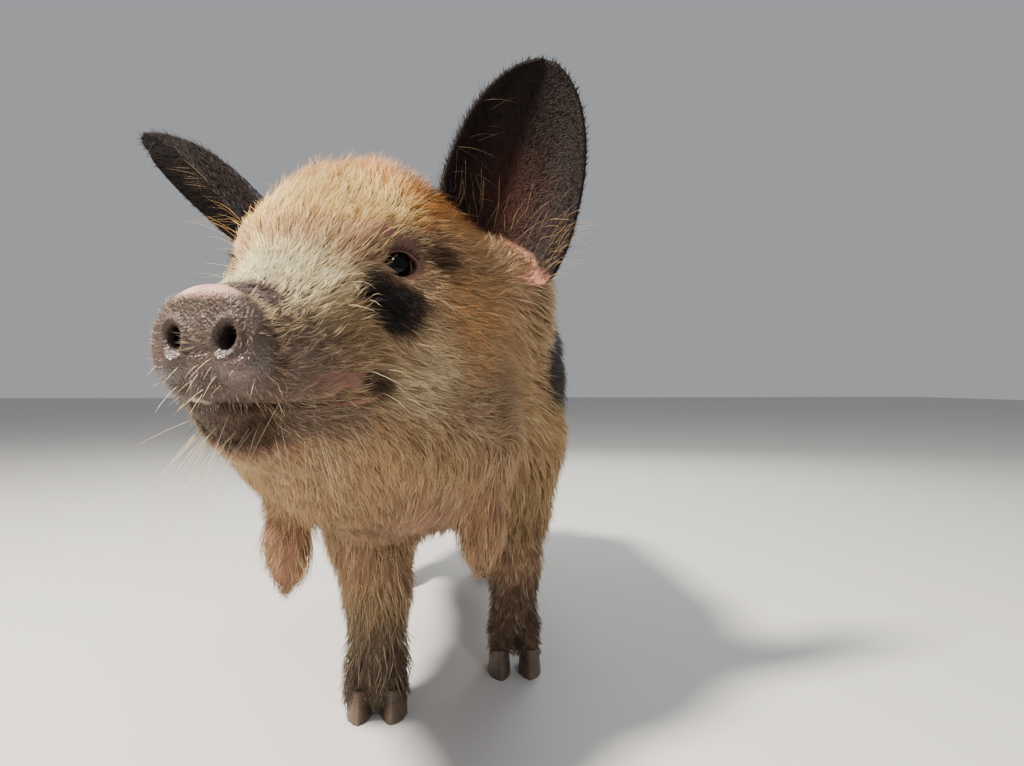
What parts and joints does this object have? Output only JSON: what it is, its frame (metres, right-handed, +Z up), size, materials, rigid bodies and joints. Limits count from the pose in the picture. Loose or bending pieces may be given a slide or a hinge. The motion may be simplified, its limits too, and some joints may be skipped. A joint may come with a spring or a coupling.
{
  "type": "kunekune piglet figure",
  "caption": "Life-size standing kunekune piglet, head up and turned a little to its right, one ear upright and one out to the side, short rough coat, wattles at the throat.",
  "frame": {"origin": "on the floor under the middle of the whole animal's extent", "axes": "+Z up, -Y the way the body faces, +X to the animal's left"},
  "size_m": [0.2421, 0.5338, 0.3517],
  "materials": {
    "coat": "short rough bristly coat, ginger over cream, with a few black patches",
    "ear": "thin near-black skin with short hair",
    "snout": "bare damp grey-brown skin, pinker along the top rim",
    "eye": "glossy, near-black iris and pupil",
    "wattle": "soft pink skin with sparse pale hair",
    "horn": "dull dark horn"
  },
  "bodies": {
    "root": {"head": "coat", "snout": "snout", "lower_jaw": "coat", "ear_left": "ear", "ear_right": "ear", "eye_left": "eye", "eye_right": "eye", "wattle_left": "wattle", "wattle_right": "wattle", "leg_front_right": "coat", "foot_front_right": "coat", "hoof_front_right_outer": "horn", "dewclaw_front_right_outer": "horn", "hoof_front_right_inner": "horn", "dewclaw_front_right_inner": "horn", "leg_front_left": "coat", "foot_front_left": "coat", "hoof_front_left_outer": "horn", "dewclaw_front_left_outer": "horn", "hoof_front_left_inner": "horn", "dewclaw_front_left_inner": "horn", "leg_hind_right": "coat", "foot_hind_right": "coat", "hoof_hind_right_outer": "horn", "dewclaw_hind_right_outer": "horn", "hoof_hind_right_inner": "horn", "dewclaw_hind_right_inner": "horn", "leg_hind_left": "coat", "foot_hind_left": "coat", "hoof_hind_left_outer": "horn", "dewclaw_hind_left_outer": "horn", "hoof_hind_left_inner": "horn", "dewclaw_hind_left_inner": "horn", "neck": "coat", "torso": "coat", "tail": "coat"}
  },
  "joints": []
}
